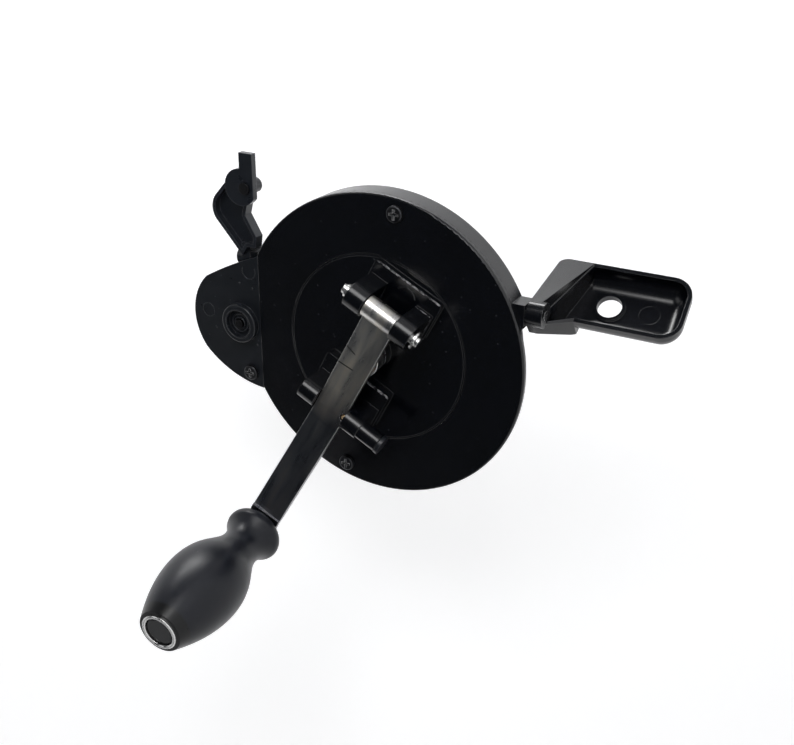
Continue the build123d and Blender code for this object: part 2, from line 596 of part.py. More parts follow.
def crank_arm():
    """Flat steel strip: rolled eye, straight run past the latch, raised run and leaning end."""
    eye_radius = HINGE_PIN_RADIUS + RUNNING_GAP + ARM_THICKNESS
    eye = rod_across(eye_radius, -ARM_WIDTH / 2, ARM_WIDTH / 2, -HINGE_REACH, HINGE_HEIGHT)
    bend_start = LATCH_REACH + 1.0
    bend_end = bend_start + 8.0
    rise = (ARM_END_HEIGHT - ARM_LATCH_HEIGHT) / (ARM_FLAT_START - bend_start)
    inner_slope = math.degrees(math.atan2(ARM_LATCH_HEIGHT - ARM_ROOT_HEIGHT, bend_start + HINGE_REACH))
    outer_slope = math.degrees(math.atan(rise))
    flat_height = ARM_END_HEIGHT + (ARM_END_REACH - ARM_FLAT_START) * GRIP_OUT
    sections = [
        strip_section(-HINGE_REACH, ARM_ROOT_HEIGHT, inner_slope),
        strip_section(bend_start, ARM_LATCH_HEIGHT, inner_slope),
        strip_section(bend_end, ARM_LATCH_HEIGHT + 4.6 * rise, outer_slope),
        strip_section(ARM_FLAT_START - 4, flat_height - 6.5 * rise, outer_slope),
        strip_section(ARM_FLAT_START, flat_height, -GRIP_LEAN_OUT, GRIP_LEAN_SIDE),
    ]
    arm = loft(Sketch() + sections, ruled=True) + eye
    end = Cylinder(ARM_WIDTH / 2, ARM_THICKNESS)
    run = ARM_END_REACH - ARM_FLAT_START + ARM_THICKNESS
    end += Pos(-run / 2, 0, 0) * Box(run, ARM_WIDTH, ARM_THICKNESS)
    arm += GRIP_IN_CRANK * end
    # bores and the latch notch
    arm -= rod_across(HINGE_PIN_RADIUS + RUNNING_GAP, -ARM_WIDTH, ARM_WIDTH, -HINGE_REACH, HINGE_HEIGHT)
    arm -= GRIP_IN_CRANK * Cylinder(GRIP_PIN_RADIUS, 4 * ARM_THICKNESS)
    notch = LATCH_PIN_RADIUS + SIDE_GAP
    notch_floor = ARM_WIDTH / 2 - LATCH_NOSE_DEPTH - SIDE_GAP + notch
    cut = Pos(LATCH_REACH, notch_floor, LATCH_HEIGHT) * Cylinder(notch, 4 * ARM_THICKNESS)
    cut += block(LATCH_REACH - notch, LATCH_REACH + notch, notch_floor, ARM_WIDTH,
                 LATCH_HEIGHT - 2 * ARM_THICKNESS, LATCH_HEIGHT + 2 * ARM_THICKNESS)
    return arm - cut


GRIP_START = ARM_THICKNESS / 2 + SIDE_GAP


def grip():
    """Turned pear-shaped grip with a collar, bored for its pin and recessed for the end ring."""
    top = GRIP_START + GRIP_LENGTH
    soft = 2.0
    profile = Line((0, GRIP_START), (GRIP_COLLAR_RADIUS - soft, GRIP_START))
    profile += ThreePointArc((GRIP_COLLAR_RADIUS - soft, GRIP_START), (GRIP_COLLAR_RADIUS, GRIP_START + soft),
                             (GRIP_COLLAR_RADIUS - 0.6, GRIP_START + GRIP_COLLAR_LENGTH))
    profile += Spline((GRIP_COLLAR_RADIUS - 0.6, GRIP_START + GRIP_COLLAR_LENGTH),
                      (GRIP_NECK_RADIUS, GRIP_NECK_AT),
                      (GRIP_BELLY_RADIUS * 0.87, (GRIP_NECK_AT + GRIP_BELLY_AT) / 2),
                      (GRIP_BELLY_RADIUS, GRIP_BELLY_AT),
                      (GRIP_END_RADIUS + 4.0, top - 9.0),
                      (GRIP_END_RADIUS, top))
    profile += Line((GRIP_END_RADIUS, top), (0, top))
    profile += Line((0, top), (0, GRIP_START))
    body = revolve(Plane.XZ * make_face(profile), Axis.Z)
    body -= Pos(0, 0, GRIP_PIN_LENGTH / 2) * Cylinder(GRIP_PIN_RADIUS + RUNNING_GAP, GRIP_PIN_LENGTH + 2 * SIDE_GAP)
    seat = Cylinder(GRIP_RING_OUTER, GRIP_RING_LENGTH)
    return body - Pos(0, 0, top - GRIP_RING_LENGTH / 2) * seat


def grip_ring():
    """Bright ring let into the grip's end."""
    top = GRIP_START + GRIP_LENGTH
    length = GRIP_RING_LENGTH + 1.0
    ring = Pos(0, 0, top + 1.0 - length / 2) * (Cylinder(GRIP_RING_OUTER, length) - Cylinder(GRIP_RING_INNER, length))
    return chamfer(ring.edges().group_by(Axis.Z)[-1], 0.4)


def grip_cap():
    """Domed plug inside the ring."""
    base = GRIP_START + GRIP_LENGTH - GRIP_RING_LENGTH
    plug = Pos(0, 0, base + GRIP_RING_LENGTH / 2) * Cylinder(GRIP_RING_INNER, GRIP_RING_LENGTH)
    return fillet(plug.edges().sort_by(Axis.Z)[-1], 1.2)


def grip_rivet():
    """Shouldered pin from behind the arm into the grip."""
    back = -ARM_THICKNESS / 2
    head = Pos(0, 0, back - RIVET_HEAD_HEIGHT / 2) * Cylinder(RIVET_HEAD_RADIUS, RIVET_HEAD_HEIGHT)
    head = fillet(head.edges().sort_by(Axis.Z)[0], 1.0)
    return head + Pos(0, 0, (back + GRIP_PIN_LENGTH) / 2) * Cylinder(GRIP_PIN_RADIUS, GRIP_PIN_LENGTH - back)


# ---------------------------------------------------------------- brackets
# Local frame of the lower bracket: x away from the swivel axis, y towards the wall, z as the case.
SWING = math.radians(BRACKET_ANGLE)
BRACKET = Plane(origin=(SWIVEL_X, SWIVEL_Y, 0), x_dir=(math.cos(SWING), math.sin(SWING), 0),
                z_dir=(0, 0, 1)).location


RISER_TOP_Z = -SWIVEL_START
RISER_END_Z = RISER_TOP_Z - RISER_WIDTH
FLOOR_P = TRAY_BACK - TRAY_FLOOR


def along_z(points, z0, z1):
    """Raise an outline in the bracket's (x, y) along Z."""
    return Pos(0, 0, z0) * extrude(make_face(Polyline(*points, close=True)), amount=z1 - z0)


def along_depth(points, y0, y1):
    """Raise an outline in the bracket's (x, z) through its depth."""
    return slab(make_face(Polyline(*points, close=True)), y0, y1)


def riser():
    """Hollow web that spreads from the knuckle to the open end of the tray."""
    front = (0.30 * KNUCKLE_RADIUS, -0.95 * KNUCKLE_RADIUS)
    side = along_z([front, (TRAY_FAR, TRAY_RIM), (TRAY_FAR, TRAY_BACK), (TRAY_NEAR, TRAY_BACK),
                    (-0.85 * KNUCKLE_RADIUS, KNUCKLE_DEPTH), (-0.95 * KNUCKLE_RADIUS, 0)],
                   RISER_END_Z, RISER_TOP_Z)
    back_edges = side.edges().filter_by(Axis.Z).filter_by_position(Axis.Y, TRAY_BACK - 1, TRAY_BACK + 1)
    side = fillet(back_edges, TRAY_CAVITY_FILLET)
    tip = (-KNUCKLE_RADIUS, RISER_TOP_Z - RISER_TIP)
    plan = along_depth([(-KNUCKLE_RADIUS, RISER_TOP_Z), (TRAY_FAR, RISER_TOP_Z), (TRAY_FAR, RISER_END_Z),
                        (TRAY_NEAR, RISER_END_Z), tip], -2 * KNUCKLE_RADIUS, TRAY_BACK + 1)
    far_corner = plan.edges().filter_by(Axis.Y).sort_by(lambda edge: edge.center().X + edge.center().Z)[-1]
    body = side & fillet(far_corner, RISER_CORNER)

    # right of the slanted edge the rim falls back to the tray's
    beyond = TRAY_FAR + 1
    inner_tip = (-KNUCKLE_RADIUS + TRAY_WALL, RISER_TOP_Z - RISER_TIP - TRAY_WALL / 2)
    open_side = along_depth([tip, (TRAY_FAR, RISER_END_Z), (TRAY_NEAR - 1, RISER_END_Z - 1), (-beyond, RISER_END_Z)],
                            -2 * KNUCKLE_RADIUS, TRAY_BACK)
    rim = block(-beyond, beyond, -2 * KNUCKLE_RADIUS, TRAY_RIM, RISER_END_Z - 1, tip[1])
    rim &= Rot(0, 90, 0) * extrude(make_face(Polyline((-tip[1], -2 * KNUCKLE_RADIUS), (-tip[1], 0),
                                                      (-RISER_END_Z, TRAY_RIM), (-RISER_END_Z + 1, TRAY_RIM),
                                                      (-RISER_END_Z + 1, -2 * KNUCKLE_RADIUS), close=True)),
                                   amount=beyond, both=True)
    body -= open_side & rim
    hollow_plan = along_depth([inner_tip, (TRAY_FAR - TRAY_WALL, RISER_END_Z), (TRAY_FAR - TRAY_WALL, RISER_END_Z - 1),
                               (TRAY_NEAR + TRAY_WALL, RISER_END_Z - 1), (TRAY_NEAR + TRAY_WALL, RISER_END_Z)],
                              -2 * KNUCKLE_RADIUS, TRAY_BACK)
    hollow_side = along_z([(-KNUCKLE_RADIUS, -2 * KNUCKLE_RADIUS), (TRAY_FAR - TRAY_WALL, -2 * KNUCKLE_RADIUS),
                           (TRAY_FAR - TRAY_WALL, FLOOR_P), (TRAY_NEAR + TRAY_WALL, FLOOR_P),
                           (-0.85 * KNUCKLE_RADIUS + TRAY_WALL, KNUCKLE_DEPTH - TRAY_WALL),
                           (-KNUCKLE_RADIUS, 0)], RISER_END_Z - 1, RISER_TOP_Z)
    floor_edges = hollow_side.edges().filter_by(Axis.Z).filter_by_position(Axis.Y, FLOOR_P - 1, FLOOR_P + 1)
    body -= hollow_plan & fillet(floor_edges, TRAY_CAVITY_FILLET - TRAY_WALL)
    return body + rod_z(KNUCKLE_RADIUS, RISER_TOP_Z - KNUCKLE_LENGTH, RISER_TOP_Z)


def lower_bracket():
    """Swivel knuckle, spreading riser and an open, round-bottomed tray with the wall screw's hole."""
    tray_end = RISER_END_Z - TRAY_LENGTH
    tray = block(TRAY_NEAR, TRAY_FAR, TRAY_RIM, TRAY_BACK, tray_end, RISER_END_Z)
    tray = fillet(tray.edges().filter_by(Axis.Y).group_by(Axis.Z)[0], TRAY_CORNER)
    back_edges = tray.faces().sort_by(Axis.Y)[-1].edges().filter_by_position(Axis.Z, tray_end - 1, RISER_END_Z - 0.1)
    tray = fillet(back_edges, TRAY_CAVITY_FILLET + TRAY_WALL)
    cavity = block(TRAY_NEAR + TRAY_WALL, TRAY_FAR - TRAY_WALL, TRAY_RIM - 1, FLOOR_P, tray_end + TRAY_WALL,
                   RISER_END_Z)
    cavity = fillet(cavity.edges().filter_by(Axis.Y).group_by(Axis.Z)[0], TRAY_CORNER - TRAY_WALL)
    floor_edges = cavity.faces().sort_by(Axis.Y)[-1].edges().filter_by_position(Axis.Z, tray_end, RISER_END_Z - 0.1)
    cavity = fillet(floor_edges, TRAY_CAVITY_FILLET)
    bracket = riser() + (tray - cavity)

    hole_x = (TRAY_NEAR + TRAY_FAR) / 2
    hole_z = RISER_END_Z - WALL_HOLE_FROM_RISER
    rim_top = FLOOR_P - WALL_HOLE_RIM_HEIGHT
    bracket += rod_y(WALL_HOLE_RADIUS + WALL_HOLE_RIM, rim_top, FLOOR_P, hole_x, hole_z)
    bracket -= rod_y(WALL_HOLE_RADIUS, rim_top - 1, TRAY_BACK + 1, hole_x, hole_z)
    pin_end = RISER_TOP_Z - KNUCKLE_LENGTH
    return bracket - rod_z(SWIVEL_PIN_RADIUS + RUNNING_GAP, pin_end - 1, RISER_TOP_Z + 1)


def swivel_pin(side, length):
    """Pin pressed into the case's lug and reaching into a bracket's knuckle."""
    return rod_z(SWIVEL_PIN_RADIUS, side * LUG_ROOT, side * (SWIVEL_START + length), SWIVEL_X, SWIVEL_Y)


def upper_arm_outline():
    """Curved outline of the upper bracket's link, in (x, z)."""
    base_left = (30.8, SWIVEL_START + 3.2)
    elbow = (46.0, 84.2)
    shoulder = (57.5, 83.7)
    tip = (FOOT_X + 2.5, 76.0)
    end_right = (FOOT_X + 2.5, FOOT_Z - 1.8)
    outline = Polyline(base_left, (37.8, 76.8), elbow)
    outline += ThreePointArc(elbow, (51.2, 86.0), shoulder)
    # the near side passes the lug's corner when the link swings
    near_x = SWIVEL_X + LUG_HALF * math.sqrt(2) + SIDE_GAP
    outline += Polyline(shoulder, tip, end_right, (58.5, 65.8), (50.0, 68.0), (40.5, 62.4), (near_x, 63.0),
                        (near_x, SWIVEL_START + SIDE_GAP), base_left)
    return make_face(outline)


def upper_arm():
    """Curved channel link from the upper swivel to the pivot of the foot."""
    front = FRONT_Y + UPPER_FRONT_BEHIND
    back = front + UPPER_DEPTH
    outline = upper_arm_outline()
    link = slab(outline, front, back)
    link -= slab(offset(outline, amount=-UPPER_WALL), front - 1, back - UPPER_WALL)
    knuckle_end = SWIVEL_START + UPPER_KNUCKLE_LENGTH
    link += rod_z(UPPER_KNUCKLE_RADIUS, SWIVEL_START, knuckle_end, SWIVEL_X, SWIVEL_Y)
    link += block(SWIVEL_X, UPPER_NECK_X, SWIVEL_Y - UPPER_KNUCKLE_RADIUS, SWIVEL_Y + UPPER_KNUCKLE_RADIUS,
                  SWIVEL_START, SWIVEL_START + UPPER_NECK_WIDTH)
    link += rod_y(FOOT_PIN_RADIUS + UPPER_WALL, front, back, FOOT_X, FOOT_Z)
    link -= rod_y(FOOT_PIN_RADIUS, front - 1, back + 1, FOOT_X, FOOT_Z)
    link -= rod_z(SWIVEL_PIN_RADIUS + RUNNING_GAP, SWIVEL_START - 1, knuckle_end + 1, SWIVEL_X, SWIVEL_Y)
    return link


def foot_face():
    """Round lobe with a straight tab, in (x, z)."""
    lobe = Pos(FOOT_X, FOOT_LOBE_Z) * Circle(FOOT_LOBE_RADIUS)
    lobe -= Pos(FOOT_X, FOOT_EDGE_Z - FOOT_LOBE_RADIUS) * Rectangle(4 * FOOT_LOBE_RADIUS, 2 * FOOT_LOBE_RADIUS)
    middle = Pos((FOOT_X + FOOT_TOP) / 2, FOOT_EDGE_Z + FOOT_TAB_WIDTH / 2)
    tab = middle * Rectangle(FOOT_TOP - FOOT_X, FOOT_TAB_WIDTH)
    return lobe + tab


def foot_back_y():
    """Back of the foot, just in front of the link."""
    return FRONT_Y + UPPER_FRONT_BEHIND - SIDE_GAP


def upper_foot():
    """Flat lever that turns on the link's end."""
    back = foot_back_y()
    foot = slab(foot_face(), back - FOOT_THICKNESS, back)
    return foot - rod_y(FOOT_PIN_RADIUS + RUNNING_GAP, back - FOOT_THICKNESS - 1, back + 1, FOOT_X, FOOT_Z)


def foot_pin():
    """Rivet that holds the foot on the link."""
    back = FRONT_Y + UPPER_FRONT_BEHIND + UPPER_DEPTH
    front = foot_back_y() - FOOT_THICKNESS
    pin = rod_y(FOOT_PIN_RADIUS, front - SIDE_GAP, back, FOOT_X, FOOT_Z)
    return pin + rod_y(FOOT_PIN_RADIUS + 0.9, front - SIDE_GAP - 0.8, front - SIDE_GAP, FOOT_X, FOOT_Z)


# ---------------------------------------------------------------- write the pieces
BLACK = (0.06, 0.06, 0.07)
STEEL = (0.6, 0.6, 0.62)
BRASS = (0.75, 0.55, 0.3)
NYLON = (0.8, 0.8, 0.78)

save(front_cover(), "front_cover", BLACK)
save(rear_shell(), "rear_shell", BLACK)
save(guide_cover(), "guide_cover", BLACK)
save(guide_roller(), "guide_roller", NYLON)
save(roller_axle(), "roller_axle", STEEL)
save(Compound(children=[screw(*on_circle(COVER_SCREW_RADIUS, a)) for a in COVER_SCREW_ANGLES]), "cover_screws", STEEL)
save(screw(GUIDE_SCREW_X, GUIDE_SCREW_Z), "guide_screw", STEEL)
save(reel(), "reel", NYLON)
save(reel_front_flange(), "reel_front_flange", NYLON)
save(reel_back_flange(), "reel_back_flange", NYLON)
save(sun_gear(), "sun_gear", STEEL)
for number in range(PLANET_COUNT):
    save(planet_gear(number), f"planet_gear_{number + 1}", NYLON)
save(planet_carrier(), "planet_carrier", STEEL)
save(planet_pins(), "planet_pins", STEEL)
save(brake_spring(), "brake_spring", STEEL)
save(spindle(), "spindle", BRASS)
save(front_bush(), "front_bush", NYLON)
save(CRANK * crank_hub(), "crank_hub", BLACK)
save(CRANK * axle_nut(), "axle_nut", STEEL)
save(CRANK * hinge_pin(), "hinge_pin", STEEL)
save(CRANK * pin_clip(), "pin_clip", STEEL)
save(CRANK * latch_pin(), "latch_pin", BRASS)
save(CRANK * latch_knob(), "latch_knob", BLACK)
save(CRANK * crank_arm(), "crank_arm", STEEL)
save(GRIP * grip(), "grip", BLACK)
save(GRIP * grip_ring(), "grip_ring", STEEL)
save(GRIP * grip_cap(), "grip_cap", BLACK)
save(GRIP * grip_rivet(), "grip_rivet", STEEL)
save(BRACKET * lower_bracket(), "lower_bracket", BLACK)
save(swivel_pin(-1, KNUCKLE_LENGTH), "lower_pivot", STEEL)
save(swivel_pin(1, UPPER_KNUCKLE_LENGTH), "upper_pivot", STEEL)
save(upper_arm(), "upper_arm", BLACK)
save(upper_foot(), "upper_foot", BLACK)
save(foot_pin(), "foot_pin", STEEL)
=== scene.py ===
import json
import math

import bmesh
import bpy
from mathutils import Matrix, Vector


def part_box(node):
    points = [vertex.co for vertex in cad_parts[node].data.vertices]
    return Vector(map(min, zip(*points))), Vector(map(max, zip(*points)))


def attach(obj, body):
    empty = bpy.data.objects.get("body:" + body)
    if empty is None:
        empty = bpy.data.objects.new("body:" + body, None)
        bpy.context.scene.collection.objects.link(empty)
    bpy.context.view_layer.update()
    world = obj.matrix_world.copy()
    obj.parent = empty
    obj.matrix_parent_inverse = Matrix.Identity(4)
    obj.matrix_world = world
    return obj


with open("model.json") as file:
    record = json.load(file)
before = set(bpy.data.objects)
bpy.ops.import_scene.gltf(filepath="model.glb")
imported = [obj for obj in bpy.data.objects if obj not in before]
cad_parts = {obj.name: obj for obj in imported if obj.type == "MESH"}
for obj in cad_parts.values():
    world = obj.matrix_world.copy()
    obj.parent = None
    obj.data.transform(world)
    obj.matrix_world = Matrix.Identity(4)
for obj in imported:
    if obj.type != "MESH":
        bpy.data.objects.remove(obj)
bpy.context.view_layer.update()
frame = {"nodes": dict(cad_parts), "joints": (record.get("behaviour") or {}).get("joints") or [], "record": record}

# Looks of a hand-cranked strap winder: materials, small moulded details, stage, lamps and camera.
# Everything is in metres, in the part's own frame.

MM = 0.001
nodes = frame["nodes"]
joints = {joint["name"]: joint for joint in frame["joints"]}

# ---------------------------------------------------------------- places taken from the frame
FRONT_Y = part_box("front_cover")[0].y
HUB_CENTRE = Vector((0, FRONT_Y, 0))
ACROSS = Vector(joints["latch_pull"]["axis"])          # towards the latch knob
OUT = Vector((0, -1, 0))                               # out of the front face
ALONG = ACROSS.cross(OUT).normalized()                 # along the crank arm, away from the hinge
GRIP_ROOT = Vector(joints["grip_spin"]["pos_m"])
GRIP_AXIS = Vector(joints["grip_spin"]["axis"])
ROLLER = Vector(joints["roller_spin"]["pos_m"])
WALL_HOLE = next(m for m in frame["record"]["mounts"] if m["name"] == "wall_hole")
TRAY_OUT = Vector(WALL_HOLE["axis"])
TRAY_AT = Vector(WALL_HOLE["pos_m"])
GRIP_END = max((vertex.co - GRIP_ROOT).dot(GRIP_AXIS) for vertex in nodes["grip"].data.vertices)
UP = Vector((1, 0, 0))                                 # up in the photo

# ---------------------------------------------------------------- values of the finishes
NOISE_LOW, NOISE_HIGH = 0.3, 0.7                       # the span that most of a noise lies in
DUST = (0.30, 0.31, 0.34)
DUST_SIZE = 0.09                                       # in parts of a cell
# pale tone of rubbed edges, also a painted edge highlight
RUBBED_AND_GLINT = (0.09, 0.095, 0.115)
# pale scuff tone, also a painted highlight along the pads' edges
SCUFF_AND_GLINT = (0.55, 0.56, 0.58)

SOFT_EDGE = 0.2 * MM
UPPER_PAD_END = -39.6 * MM                             # along the arm from the axis
UPPER_PAD_HEIGHT = 3.2 * MM                            # above the front face
LOWER_PAD_START = 13.0 * MM
LOWER_PAD_HEIGHT = 5.0 * MM
SCUFF_DEPTH = 0.4 * MM                                 # down from a pad's top

STRIP_SPAN = (-30.0 * MM, 100.0 * MM)                  # along the arm from the axis
STRIP_REFLECTION_TONES = [                                        # place in the span, tone; a painted reflection, bright by the hinge and dark past the latch
    (0.02, (0.72, 0.71, 0.69)),
    (0.08, (0.66, 0.65, 0.63)),
    (0.36, (0.80, 0.76, 0.69)),
    (0.44, (0.40, 0.38, 0.37)),
    (0.50, (0.13, 0.14, 0.16)),
    (0.95, (0.22, 0.225, 0.25)),
]
STAIN_TONES = [(0.32, (0.62, 0.62, 0.66)), (0.50, (0.92, 0.91, 0.89)), (0.66, (1.0, 0.94, 0.84))]
CREASES = ((-2.5 * MM, 0.235, -1.5 * MM), (4.1 * MM, -0.08, 1.0 * MM))   # along, slant, where it fades
# painted shade in the strip's creases
CREASE_SHADE = (0.07, 0.065, 0.06)
KNOB_SIDE_TONE = (0.10, 0.10, 0.11)
# pale strip edges, partly rubbed and partly a painted edge highlight
BARE_EDGE_AND_GLINT = (0.86, 0.85, 0.83)
STREAK_SHARE = 0.18                                    # of the length, so that the noise is drawn out
STRIP_RUBBED_GLINT_END = 82.0 * MM                             # along the arm, just before the grip

GRIP_SHADE_BAND = 5.0 * MM                                   # the painted shade band at the grip's end
GRIP_END_SHADE = (0.0012, 0.0014, 0.0020)

# ---------------------------------------------------------------- node helpers


class Nodes:
    """Small helper that adds and links shader nodes in one material."""

    def __init__(self, name):
        self.material = bpy.data.materials.new(name)
        self.material.use_nodes = True
        self.tree = self.material.node_tree
        self.tree.nodes.clear()
        self.output = self.add("ShaderNodeOutputMaterial")
        self.shader = self.add("ShaderNodeBsdfPrincipled")
        self.link(self.shader.outputs[0], self.output.inputs["Surface"])
        self.coords = self.add("ShaderNodeTexCoord").outputs["Object"]

    def add(self, kind, **settings):
        node = self.tree.nodes.new(kind)
        for key, value in settings.items():
            setattr(node, key, value)
        return node

    def link(self, out_socket, in_socket):
        self.tree.links.new(out_socket, in_socket)

    def noise(self, scale, detail=4.0, rough=0.6, stretch=(1, 1, 1)):
        """Noise in real size: scale is in features per metre."""
        mapping = self.add("ShaderNodeMapping")
        mapping.inputs["Scale"].default_value = stretch
        self.link(self.coords, mapping.inputs["Vector"])
        node = self.add("ShaderNodeTexNoise")
        node.inputs["Scale"].default_value = scale
        node.inputs["Detail"].default_value = detail
        node.inputs["Roughness"].default_value = rough
        self.link(mapping.outputs[0], node.inputs["Vector"])
        return node.outputs["Fac"]

    def ramp(self, value, stops):
        node = self.add("ShaderNodeValToRGB")
        elements = node.color_ramp.elements
        while len(elements) < len(stops):
            elements.new(0.5)
        for element, (place, color) in zip(elements, stops):
            element.position = place
            element.color = (*color, 1)
        self.link(value, node.inputs["Fac"])
        return node.outputs["Color"]

    def rescale(self, value, from_low, from_high, to_low=0.0, to_high=1.0, **settings):
        """Maps one range of a value to another."""
        node = self.add("ShaderNodeMapRange", **settings)
        node.inputs["From Min"].default_value = from_low
        node.inputs["From Max"].default_value = from_high
        node.inputs["To Min"].default_value = to_low
        node.inputs["To Max"].default_value = to_high
        self.link(value, node.inputs["Value"])
        return node.outputs["Result"]

    def spread(self, value, low, high):
        """Maps the usual span of a noise to low..high."""
        return self.rescale(value, NOISE_LOW, NOISE_HIGH, low, high)

    def mix(self, fac, a, b, blend="MIX"):
        """Mixes two colours, given as sockets or tuples, by a socket or a number."""
        node = self.add("ShaderNodeMix", data_type="RGBA", blend_type=blend)
        for socket, value in zip((node.inputs["Factor"], node.inputs[6], node.inputs[7]), (fac, a, b)):
            if hasattr(value, "is_output"):
                self.link(value, socket)
            elif isinstance(value, tuple):
                socket.default_value = (*value, 1)
            else:
                socket.default_value = value
        return node.outputs[2]

    def math(self, operation, a, b=None):
        """One sum on sockets or numbers."""
        node = self.add("ShaderNodeMath", operation=operation)
        for socket, value in zip(node.inputs, (a, b)):
            if hasattr(value, "is_output"):
                self.link(value, socket)
            elif value is not None:
                socket.default_value = value
        return node.outputs[0]

    def reach(self, origin, direction):
        """Distance of the surface point from a plane through origin, along direction."""
        shift = self.add("ShaderNodeVectorMath", operation="SUBTRACT")
        self.link(self.coords, shift.inputs[0])
        shift.inputs[1].default_value = tuple(origin)
        dot = self.add("ShaderNodeVectorMath", operation="DOT_PRODUCT")
        self.link(shift.outputs[0], dot.inputs[0])
        dot.inputs[1].default_value = tuple(direction)
        return dot.outputs["Value"]

    def step(self, value, low, high):
        """0 at low, 1 at high, with a soft change between. Falls where high is the smaller one."""
        return self.rescale(value, low, high, interpolation_type="SMOOTHSTEP")

    def product(self, *values):
        """Product of masks."""
        result = values[0]
        for value in values[1:]:
            result = self.math("MULTIPLY", result, value)
        return result

    def dusted(self, tone, scale, share, level):
        """Sparse pale dust on a tone."""
        return self.mix(self.product(self.specks(scale, DUST_SIZE, share), level), tone, DUST)

    def specks(self, scale, size, share):
        """Sparse small round dots: scale is in cells per metre, size and share are parts of one."""
        cells = self.add("ShaderNodeTexVoronoi")
        cells.inputs["Scale"].default_value = scale
        self.link(self.coords, cells.inputs["Vector"])
        dots = self.step(cells.outputs["Distance"], size, size * 0.6)
        kept = self.step(cells.outputs["Color"], 1 - share, 1 - share + 0.02)
        return self.math("MULTIPLY", dots, kept)

    def edges(self, radius, low, high):
        """Mask that is 1 near sharp edges: a rounded normal set against the true one."""
        geometry = self.add("ShaderNodeNewGeometry")
        dot = self.add("ShaderNodeVectorMath", operation="DOT_PRODUCT")
        self.link(self.rounded(radius), dot.inputs[0])
        self.link(geometry.outputs["True Normal"], dot.inputs[1])
        return self.rescale(dot.outputs["Value"], high, low)

    def rounded(self, radius):
        """Normal as if the edges had this radius."""
        bevel = self.add("ShaderNodeBevel", samples=6)
        bevel.inputs["Radius"].default_value = radius
        return bevel.outputs[0]

    def relief(self, height, strength, distance, radius=0.4 * MM):
        """Bump over softly rounded edges."""
        bump = self.add("ShaderNodeBump")
        bump.inputs["Strength"].default_value = strength
        bump.inputs["Distance"].default_value = distance
        self.link(height, bump.inputs["Height"])
        self.link(self.rounded(radius), bump.inputs["Normal"])
        self.link(bump.outputs[0], self.shader.inputs["Normal"])

    def set(self, name, value):
        socket = self.shader.inputs[name]
        if hasattr(value, "is_output"):
            self.link(value, socket)
        elif isinstance(value, tuple):
            socket.default_value = (*value, 1)
        else:
            socket.default_value = value


# ---------------------------------------------------------------- materials
def moulded(name, dark, light, rough_low, rough_high, grain, edge_wear_glint=0.12, dust_level=0.12, scuffs_and_glints=None):
    """Moulded plastic: cloudy tone, dust specks, pale rubbed edges that are partly a painted edge highlight, and,
    where asked, scuffed ridges that are partly a painted highlight.
    """
    m = Nodes(name)
    tone = m.ramp(m.noise(38, 5), [(0.3, dark), (0.72, light)])
    tone = m.dusted(tone, 240, 0.35, dust_level)
    # pale rubbed edges, partly real rubbing and partly a painted edge highlight
    tone = m.mix(m.product(m.edges(0.5 * MM, 0.80, 0.97), edge_wear_glint), tone, RUBBED_AND_GLINT)
    if scuffs_and_glints:
        # scuffed pad edges, partly a painted highlight along them
        tone = m.mix(scuffs_and_glints(m), tone, SCUFF_AND_GLINT)
    m.set("Base Color", tone)
    m.set("Roughness", m.spread(m.noise(170, 6, 0.7), rough_low, rough_high))
    m.set("IOR", 1.46)
    m.relief(m.noise(grain, 6, 0.7), 0.06, 0.06 * MM)
    return m.material


def pad_scuffs_and_glints(m):
    """Broken bright scuffing, partly a painted edge highlight, on the upper pad's outer edge and on half of the
    lower pad's inner edge.
    """
    height = m.reach(HUB_CENTRE, OUT)
    along = m.reach(HUB_CENTRE, ALONG)
    across = m.reach(HUB_CENTRE, ACROSS)

    def above(value, level):
        return m.step(value, level - SOFT_EDGE, level + SOFT_EDGE)

    def below(value, level):
        return m.step(value, level + SOFT_EDGE, level - SOFT_EDGE)

    upper = m.product(below(along, UPPER_PAD_END + 0.6 * MM),
                      above(height, UPPER_PAD_HEIGHT - SCUFF_DEPTH))
    lower = m.product(below(along, LOWER_PAD_START + 1.0 * MM),
                      above(height, LOWER_PAD_HEIGHT - SCUFF_DEPTH),
                      m.step(across, 0.0, MM), below(height, LOWER_PAD_HEIGHT + SOFT_EDGE))
    broken = m.ramp(m.noise(700, 5, 0.9), [(0.50, (0, 0, 0)), (0.54, (1, 1, 1))])
    return m.product(m.math("MAXIMUM", upper, lower), broken)


